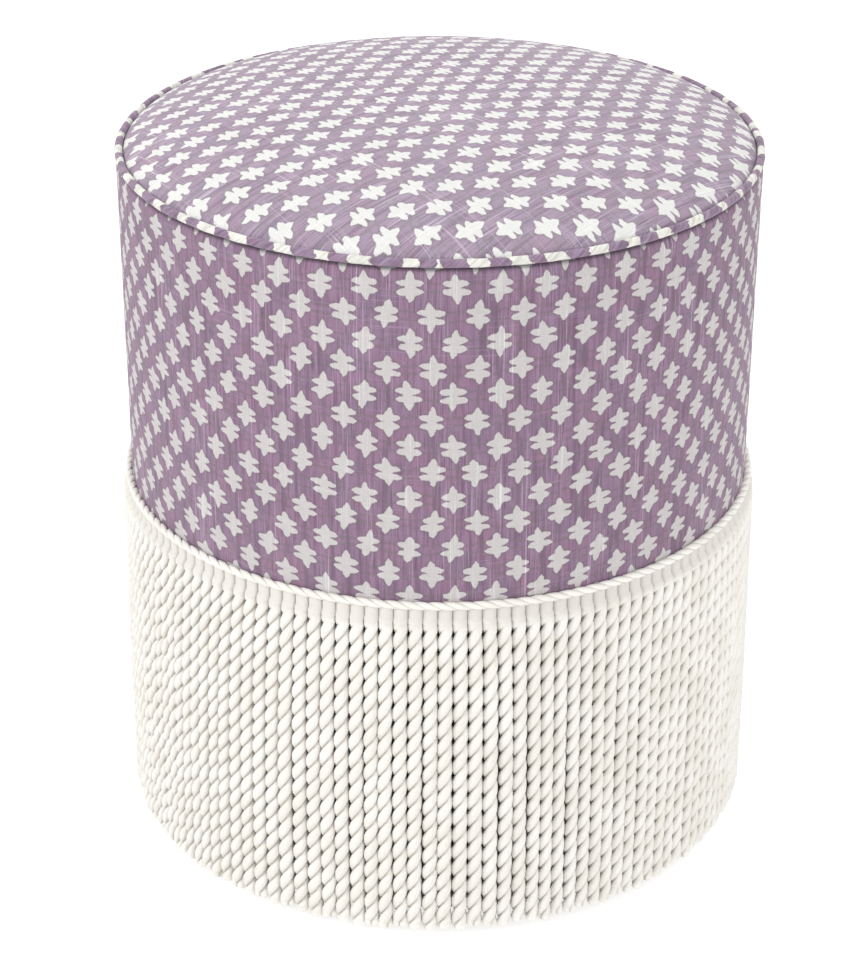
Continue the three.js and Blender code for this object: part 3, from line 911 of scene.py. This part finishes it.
def add_strand(name, pitch, sway):
    cord_length = STRAND_LENGTH - CORD_END_LENGTH
    strand = add_twisted_cord(name, CORD_RADIUS, CORD_OUTLINE, pitch * MM, cord_length, CORD_STEPS,
                              CORD_START_DEGREES)
    close_end(strand, -cord_length, CORD_END)
    open_edit(strand)
    ring_step = cord_length / round(CORD_STEPS * cord_length / (pitch * MM))
    for ring, (roundness, fullness) in enumerate(FIRST_RINGS):
        pick(strand, lambda place: abs(place.z + ring * ring_step) < 0.2 * MM)
        bpy.ops.transform.tosphere(value=roundness)
        resize(fullness, fullness, 1, (0, 0, 0))
    draw_up_rib(strand)
    pick(strand, lambda place: abs(place.z + STRAND_LENGTH * SWAY_SHARE) < 1.2 * MM)
    bpy.ops.transform.translate(value=(sway * MM, 0, 0), use_proportional_edit=True,
                                proportional_size=SWAY_REACH, proportional_edit_falloff="SMOOTH")
    close_edit()
    for value, point in zip(strand.data.attributes["crease"].data, strand.data.vertices):
        value.value *= min(1, max(0, -point.co.z / (len(FIRST_RINGS) * ring_step)))
    smooth(strand, CORD_CREASE)
    return strand


strand_kinds = [add_strand("strand_kind_%d" % number, *facts) for number, facts in enumerate(STRAND_KINDS)]
print("%d kinds of strand, each %.0f mm long" % (len(strand_kinds), STRAND_LENGTH / MM))

# %% [markdown]
# The 144 strands on the stool are copies of these kinds. No two hang quite alike: each leans
# a little on its own and a little with its neighbours, in waves round the stool, and its end
# is up to 3 mm short. The whole fringe is also cut a little shorter on the right.
# %% A strand's place round the stool
STRAND_RADIUS = LINEN_RADIUS + 1.7 * MM
SHORTER_EACH, SHORTER_ALL, SHORTER_RIGHT = 3 * MM, 1.1 * MM, 1.5 * MM
GOLDEN_SHARE = 0.618034
LEAN_WAVES, LEAN_DEGREES = 8, 0.15
OWN_LEAN, OUT_LEAN = (-0.1, 0.1), (-0.05, 0.1)


def place_strand(kind, index, dice):
    """A copy of a strand at its place, with its own lean, in degrees, and length"""
    angle = 2 * math.pi * (index + 0.5) / STRAND_COUNT
    shorter = SHORTER_EACH * ((index * GOLDEN_SHARE) % 1) + SHORTER_ALL + SHORTER_RIGHT * math.cos(angle)
    lean = LEAN_DEGREES * math.sin(LEAN_WAVES * angle + 1) + dice.uniform(*OWN_LEAN)
    out_lean = dice.uniform(*OUT_LEAN)
    stretch = (STRAND_LENGTH - shorter) / STRAND_LENGTH
    place = Vector((STRAND_RADIUS * math.cos(angle), STRAND_RADIUS * math.sin(angle), STRAND_TOP))
    return add_copy(kind, (
        Matrix.Translation(place) @ Matrix.Rotation(angle + math.pi / 2, 4, "Z")
        @ Matrix.Rotation(math.radians(lean), 4, "Y") @ Matrix.Rotation(math.radians(out_lean), 4, "X")
        @ Matrix.Diagonal((1, 1, stretch, 1))))


print("strands stand %.1f mm from the axis" % (STRAND_RADIUS / MM))

# %% [markdown]
# A hand has combed the fringe, so its cords fan out in places, more the further down they
# hang, and they flare a little. A stroke of the comb is how far it moves the cords to the
# right, and its middle and reach round the stool, in degrees from the front. Each quarter of
# the fringe is one piece, as it is in the frame.
# %% The combed fringe
STRAND_SECTORS = 4
COMB_STROKES = ((-8.5 * MM, -44, 24), (3 * MM, 13, 11), (5 * MM, 62, 16), (5 * MM, 150, 25),
                (-4 * MM, -130, 18))
COMB_EASE = 60 * MM
FLARE, FLARE_DROP = 1.8 * MM, 150 * MM


def comb(cords):
    for point in cords.data.vertices:
        drop = max(0.0, HEADER_LOW - point.co.z)
        angle = math.atan2(point.co.x, -point.co.y)
        shift = sum(most * math.exp(-((math.degrees(angle) - middle) / reach) ** 2)
                    for most, middle, reach in COMB_STROKES)
        angle += shift * (1 - math.exp(-drop / COMB_EASE)) / STRAND_RADIUS
        radius = math.hypot(point.co.x, point.co.y) + FLARE * min(1, drop / FLARE_DROP)
        point.co = (radius * math.sin(angle), -radius * math.cos(angle), point.co.z)


dice = random.Random(11)
sector_strands = {sector: [] for sector in range(STRAND_SECTORS)}
for index in range(STRAND_COUNT):
    kind = strand_kinds[dice.randrange(len(strand_kinds))]
    sector_strands[index * STRAND_SECTORS // STRAND_COUNT].append(place_strand(kind, index, dice))
for sector, strands in sector_strands.items():
    cords = join_pieces(strands, "fringe_cords_%d" % (sector + 1))
    comb(cords)
    dress(cords, fringe_cotton, "fringe_cotton", "fringe_strands_%d" % (sector + 1))
for kind in strand_kinds:
    bpy.data.objects.remove(kind)

# %% [markdown]
# Behind the ribs runs the tape that they are woven on. Little of it shows, only a thin shaded
# line between one rib and the next.
# %% Header tape
TAPE_RADIUS = LINEN_RADIUS + 0.9 * MM
TAPE_THICKNESS = 0.7 * MM
TAPE_POINTS, TAPE_STEPS = 240, 6

header_tape = start_band("header_tape", TAPE_RADIUS, HEADER_LOW + 0.6 * MM, LIP_LOW + 1 * MM,
                         TAPE_POINTS, TAPE_STEPS)
close_edit()
facing_out(header_tape)
make_cloth(header_tape, TAPE_THICKNESS)
dress(header_tape, shaded_tape_cotton, "fringe_cotton")

# %% [markdown]
# The lip cord is a thinner two-ply cord along the top of the header. It is made straight, as
# rope is, and then bent into a ring by a Simple Deform modifier. Its twist is a whole number
# of turns, so the two ends meet.
# %% Lip cord
LIP_RADIUS = (LIP_TOP - LIP_LOW) / 2 + 0.4 * MM
LIP_RING = LINEN_RADIUS + 1.9 * MM
LIP_TURNS, LIP_STEPS = 72, 16
lip_length = 2 * math.pi * LIP_RING

lip_cord = add_twisted_cord("lip_cord", LIP_RADIUS, LIP_OUTLINE, lip_length / LIP_TURNS, lip_length,
                            LIP_STEPS)
lip_cord.rotation_euler = (0, math.pi / 2, 0)
settle(lip_cord)
lip_cord.location = (lip_length / 2, 0, 0)
settle(lip_cord)
bend = lip_cord.modifiers.new("ring", "SIMPLE_DEFORM")
bend.deform_method = "BEND"
bend.deform_axis = "Z"
bend.angle = 2 * math.pi
apply_modifiers(lip_cord)
low = Vector([min(point.co[k] for point in lip_cord.data.vertices) for k in range(3)])
high = Vector([max(point.co[k] for point in lip_cord.data.vertices) for k in range(3)])
lip_cord.location = Vector((0, 0, (LIP_LOW + LIP_TOP) / 2)) - (low + high) / 2
settle(lip_cord)
facing_out(lip_cord)
smooth(lip_cord, CORD_CREASE)
dress(lip_cord, fringe_cotton, "fringe_cotton", "fringe_lip_cord")
print("lip ring box, mm:", [round((high[k] - low[k]) / MM, 1) for k in range(3)])

# %% [markdown]
# Under the linen lie the soft layers. Foam is open-celled, wadding is a fleece of fine fibres,
# and the lining behind the fringe and the cover under the base are plain black cloth. None of
# them shows in the picture, but the lining is the dark that one sees between the cords.
# %% Finishes of the hidden cloths
def foam_finish():
    finish = Finish("open-cell foam", 0.95)
    place = finish.place()
    cells = finish.add("ShaderNodeTexVoronoi", inputs={"Vector": place, "Scale": 700.0})
    tone = finish.noise(place, 14.0, detail=3.0)
    colour = finish.blend(finish.step(tone, 0.3, 0.7), srgb(240, 232, 200), srgb(226, 214, 176))
    finish.colour(finish.blend(finish.step(cells, 0.45, 0.1), colour, srgb(196, 182, 142)))
    finish.relief(cells, 0.5, 0.6 * MM)
    return finish.material


def fleece_finish():
    finish = Finish("polyester fleece", 0.97, Sheen_Weight=0.3)
    place = finish.place()
    fibres = finish.noise(place, 500.0, detail=4.0, roughness=0.7)
    clumps = finish.noise(place, 60.0, detail=3.0)
    colour = finish.blend(finish.step(clumps, 0.3, 0.7), srgb(246, 245, 241), srgb(232, 231, 226))
    finish.colour(finish.blend(finish.math("MULTIPLY", fibres, 0.3), colour, srgb(212, 211, 205)))
    finish.relief(finish.math("ADD", fibres, clumps), 0.6, 1.0 * MM)
    return finish.material


def black_cloth_finish(name, dark_tone, light_tone):
    finish = Finish(name, 0.95, Sheen_Weight=0.1, Specular_IOR_Level=0.2)
    place = finish.place()
    calc = finish.math
    x, y, z = finish.parts(place)
    weave = calc("MULTIPLY", calc("SINE", calc("MULTIPLY", calc("ADD", x, y), 7000.0)),
                 calc("SINE", calc("MULTIPLY", z, 9000.0)))
    tone = finish.noise(place, 80.0, detail=4.0)
    finish.colour(finish.blend(finish.step(tone, 0.3, 0.7), dark_tone, light_tone))
    finish.relief(calc("ADD", weave, tone), 0.4, 0.2 * MM)
    return finish.material


foam, fleece = foam_finish(), fleece_finish()
lining_cloth = black_cloth_finish("black lining", srgb(122, 120, 116), srgb(138, 135, 131))
cover_cloth = black_cloth_finish("black dust cover", srgb(66, 66, 68), srgb(80, 80, 81))
print("hidden finishes:", ", ".join(finish.name for finish in (foam, fleece, lining_cloth, cover_cloth)))

# %% [markdown]
# The foam is a thick disc with a crowned top, cut a little small, because it swells when it is
# let go. We draw the disc, close it, and let a cloth simulation with air pressure inside round
# it out. A point may move two millimetres at most, so the pad stays clear of its neighbours.
# %% Seat foam
FOAM_RADIUS = WALL_RADIUS - 2.5 * MM
FOAM_LOW = node_level("seat_foam", 0) + 0.8 * MM
FOAM_DEPTH = 7.8 * MM
FOAM_POINTS, FOAM_STEPS = 96, 8
FOAM_SWELL = 2 * MM
FOAM_VOXEL = 5 * MM
FOAM_PRESSURE = 4
SWELL_FRAMES = 20

seat_foam = add_crown("seat_foam_pad", FOAM_RADIUS, FOAM_DEPTH, points=FOAM_POINTS)
open_edit(seat_foam)
foam_edge = crown_height(FOAM_RADIUS, FOAM_DEPTH)
pick(seat_foam, lambda place: math.hypot(place.x, place.y) > FOAM_RADIUS - 0.1 * MM)
for unused in range(FOAM_STEPS):
    extrude((0, 0, (FOAM_LOW - foam_edge) / FOAM_STEPS))
bpy.ops.mesh.edge_face_add()
close_edit()
facing_out(seat_foam)


def swell(piece, voxel, pressure, most):
    """Lets a closed pad swell by cloth simulation, each point by no more than a set distance"""
    piece.data.remesh_voxel_size = voxel
    only(piece)
    bpy.ops.object.voxel_remesh()
    before = [point.co.copy() for point in piece.data.vertices]
    cloth = piece.modifiers.new("swelling", "CLOTH")
    cloth.settings.use_pressure = True
    cloth.settings.uniform_pressure_force = pressure
    cloth.settings.effector_weights.gravity = 0
    for frame_number in range(1, SWELL_FRAMES + 1):
        bpy.context.scene.frame_set(frame_number)
    bpy.ops.object.modifier_apply(modifier=cloth.name)
    bpy.context.scene.frame_set(1)
    for point, start in zip(piece.data.vertices, before):
        moved = point.co - start
        if moved.length > most:
            point.co = start + moved * (most / moved.length)
    rounding = piece.modifiers.new("rounding", "SUBSURF")
    rounding.levels = rounding.render_levels = 1
    apply_modifiers(piece)


swell(seat_foam, FOAM_VOXEL, FOAM_PRESSURE, FOAM_SWELL)
smooth(seat_foam, CLOTH_CREASE)
dress(seat_foam, foam, "foam", "seat_foam")

# %% [markdown]
# A layer of wadding softens the foam's top and the drum's side. Each is a sheet of fleece a few
# millimetres thick, and it lies close under the linen.
# %% Wadding
WADDING_GAP = 0.6 * MM
SEAT_WADDING_DEPTH, SEAT_WADDING_THICKNESS = 1.3 * MM, 3.6 * MM
SIDE_WADDING_THICKNESS = 5.2 * MM
SIDE_WADDING_POINTS, SIDE_WADDING_STEPS = 180, 14
WADDING_LOW, WADDING_TOP = node_level("side_wadding", 0), node_level("side_wadding", 1)
WADDING_RADIUS = node_radius("side_wadding") - WADDING_GAP

seat_wadding = add_crown("seat_wadding_fleece", WALL_RADIUS - WADDING_GAP, SEAT_WADDING_DEPTH)
make_cloth(seat_wadding, SEAT_WADDING_THICKNESS)
dress(seat_wadding, fleece, "wadding", "seat_wadding")

side_wadding = start_band("side_wadding_fleece", WADDING_RADIUS, WADDING_LOW + 0.3 * MM,
                          WADDING_TOP - 7 * MM, SIDE_WADDING_POINTS, SIDE_WADDING_STEPS)
turn_in(WADDING_RADIUS, WADDING_TOP, 2 * MM, 6.6 * MM)
close_edit()
facing_out(side_wadding)
make_cloth(side_wadding, SIDE_WADDING_THICKNESS)
dress(side_wadding, fleece, "wadding", "side_wadding")

# %% [markdown]
# Below the linen the drum is lined with black cloth, so that the gaps between the cords look
# dark. It is one more straight band.
# %% Lower lining
LINING_THICKNESS = 0.6 * MM
LINING_POINTS, LINING_STEPS = 180, 12

lower_lining = start_band("lower_lining_cloth", node_radius("lower_lining"),
                          node_level("lower_lining", 0), node_level("lower_lining", 1),
                          LINING_POINTS, LINING_STEPS)
close_edit()
facing_out(lower_lining)
make_cloth(lower_lining, LINING_THICKNESS)
dress(lower_lining, lining_cloth, "black_cloth", "lower_lining")

# %% [markdown]
# The underside is closed by another black sheet, stapled to the base round its edge. The
# cloth stands off the board a little between two staples, which gives its edge a soft wave. A
# circle is drawn in ring by ring to its middle, and the rings are then let down.
# %% Dust cover
COVER_RADIUS = node_radius("dust_cover")
COVER_LOW, COVER_TOP = node_level("dust_cover", 0), node_level("dust_cover", 1)
COVER_POINTS = 216
COVER_RINGS = (4, 8, 12, 20, 40, 70, 100, 130, 160)
COVER_THICKNESS = 0.5 * MM
STAPLE_COUNT = 36
STAPLE_RING = COVER_RADIUS - 8 * MM
EDGE_SAG, EDGE_SAG_WIDTH = 0.35 * MM, 14 * MM
MIDDLE_SAG = 0.4 * MM


def cover_sag(place):
    """How far the dust cover hangs below the board: nothing at its staples, a little elsewhere"""
    radius, angle = math.hypot(place.x, place.y), math.atan2(place.y, place.x)
    wave = 0.5 - 0.5 * math.cos(STAPLE_COUNT * angle)
    edge = max(0.0, 1 - abs(radius - COVER_RADIUS) / EDGE_SAG_WIDTH)
    middle = math.cos(min(radius / STAPLE_RING, 1) * math.pi / 2)
    return EDGE_SAG * wave * edge + MIDDLE_SAG * middle


bpy.ops.mesh.primitive_circle_add(vertices=COVER_POINTS, radius=COVER_RADIUS,
                                  location=(0, 0, COVER_TOP - 0.05 * MM))
dust_cover = new_piece("dust_cover_cloth")
open_edit(dust_cover)
pick_all()
last_radius = COVER_RADIUS
for ring_radius in [COVER_RADIUS - inset * MM for inset in COVER_RINGS]:
    extrude((0, 0, 0))
    resize(ring_radius / last_radius, ring_radius / last_radius, 1, (0, 0, COVER_TOP))
    last_radius = ring_radius
extrude((0, 0, 0))
bpy.ops.mesh.merge(type="CENTER")
close_edit()
for point in dust_cover.data.vertices:
    point.co.z -= cover_sag(point.co)
facing_out(dust_cover)
make_cloth(dust_cover, COVER_THICKNESS)
dress(dust_cover, cover_cloth, "black_cloth", "dust_cover")

# %% [markdown]
# Wood, plastic and steel are the frame's own nodes. Their shapes are right already, so they
# only get finishes: birch plywood with its plies on the edges, planed pine with its grain up
# the posts, moulded plastic feet and zinc-plated screws.
# %% Finishes of the frame
PLY_PAIR = 4.3 * MM


def wood_finish(name, light_tone, dark_tone, grain, plies=False):
    """Raw wood with its grain stretched along one axis, and its plies showing on upright edges"""
    finish = Finish(name, 0.62, Specular_IOR_Level=0.35)
    x, y, z = finish.parts(finish.place())
    calc = finish.math
    stretched = finish.vector(*(calc("MULTIPLY", part, fine) for part, fine in zip((x, y, z), grain)))
    lines = finish.noise(stretched, 1.0, detail=5.0, roughness=0.62)
    colour = finish.blend(finish.step(lines, 0.3, 0.72), light_tone, dark_tone)
    if plies:
        facing = finish.parts(finish.add("ShaderNodeTexCoord", output=1))[2]
        upright = finish.step(calc("ABSOLUTE", facing), 0.6, 0.4)
        layer = calc("SINE", calc("MULTIPLY_ADD", z, 2 * math.pi / PLY_PAIR, 0.8))
        edges = finish.blend(finish.step(layer, -0.5, 0.5), srgb(176, 140, 96), srgb(222, 198, 156))
        colour = finish.blend(upright, colour, edges)
    finish.colour(colour)
    finish.relief(lines, 0.25, 0.3 * MM)
    return finish.material


def plastic_finish():
    finish = Finish("moulded black plastic", 0.5, Specular_IOR_Level=0.4)
    grain = finish.noise(finish.place(), 1800.0)
    scuffs = finish.step(finish.noise(finish.place(), 120.0, detail=4.0), 0.4, 0.75)
    finish.colour(finish.blend(scuffs, (0.028, 0.028, 0.031, 1), (0.06, 0.06, 0.063, 1)))
    finish.relief(grain, 0.3, 0.15 * MM)
    return finish.material


def zinc_finish():
    finish = Finish("zinc plate", 0.36, Metallic=1.0)
    place = finish.place()
    spangle = finish.add("ShaderNodeTexVoronoi", output=1, inputs={"Vector": place, "Scale": 900.0})
    tone = finish.blend(0.12, (0.62, 0.63, 0.66, 1), spangle)
    dull = finish.step(finish.noise(place, 300.0), 0.55, 0.8)
    finish.colour(finish.blend(dull, tone, (0.42, 0.42, 0.43, 1)))
    finish.relief(finish.noise(place, 1500.0), 0.15, 0.1 * MM)
    return finish.material


birch = (srgb(226, 202, 160), srgb(200, 168, 120))
plywood = wood_finish("birch plywood", *birch, grain=(14, 260, 260), plies=True)
bent_plywood = wood_finish("bent birch plywood", *birch, grain=(260, 260, 14))
pine = wood_finish("planed pine", srgb(232, 204, 150), srgb(198, 152, 92), grain=(180, 180, 9))
black_plastic, zinc_steel = plastic_finish(), zinc_finish()
NODE_FINISHES = {
    "base_board": plywood, "seat_board": plywood, "fringe_rail": plywood, "drum_wall": bent_plywood,
    "post_screw_": zinc_steel, "foot_screw_": zinc_steel, "post_": pine, "foot_": black_plastic,
}


def finish_of(node_name):
    """The finish of a frame node, or nothing for a node that a dressed piece replaces"""
    return next((finish for start, finish in NODE_FINISHES.items() if node_name.startswith(start)), None)


for node_name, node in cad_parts.items():
    if finish_of(node_name):
        for material_slot in node.material_slots:
            material_slot.material = finish_of(node_name)
print("frame finishes:", ", ".join(sorted({finish.name for finish in NODE_FINISHES.values()})))

# %% [markdown]
# A staple is a bent wire of which only the flat back shows. One is shaped from a small block
# whose ends are bent towards the board, and copies of it go round the dust cover, each a
# little off true.
# %% Staples
STAPLE_LENGTH, STAPLE_WIDTH, STAPLE_WIRE = 10 * MM, 1.2 * MM, 0.5 * MM
STAPLE_ROUNDING, STAPLE_BEND = 0.16 * MM, 0.25 * MM
STAPLE_TURN = 0.2

bpy.ops.mesh.primitive_cube_add(size=1, scale=(STAPLE_LENGTH, STAPLE_WIDTH, STAPLE_WIRE))
staple_kind = new_piece("staple_kind")
open_edit(staple_kind)
pick_all()
bpy.ops.mesh.bevel(offset=STAPLE_ROUNDING, segments=1, affect="EDGES")
pick(staple_kind, lambda place: abs(place.x) > STAPLE_LENGTH / 2 - 0.2 * MM)
bpy.ops.transform.translate(value=(0, 0, STAPLE_BEND))
close_edit()
dice = random.Random(5)
staples = []
for index in range(STAPLE_COUNT):
    angle = 2 * math.pi * index / STAPLE_COUNT
    place = Vector((STAPLE_RING * math.cos(angle), STAPLE_RING * math.sin(angle), COVER_LOW - 0.1 * MM))
    turn = angle + math.pi / 2 + dice.uniform(-STAPLE_TURN, STAPLE_TURN)
    staples.append(add_copy(staple_kind, Matrix.Translation(place) @ Matrix.Rotation(turn, 4, "Z")))
dust_cover_staples = join_pieces(staples, "dust_cover_staples")
smooth(dust_cover_staples, 30)
dress(dust_cover_staples, zinc_steel, "zinc_steel")
bpy.data.objects.remove(staple_kind)
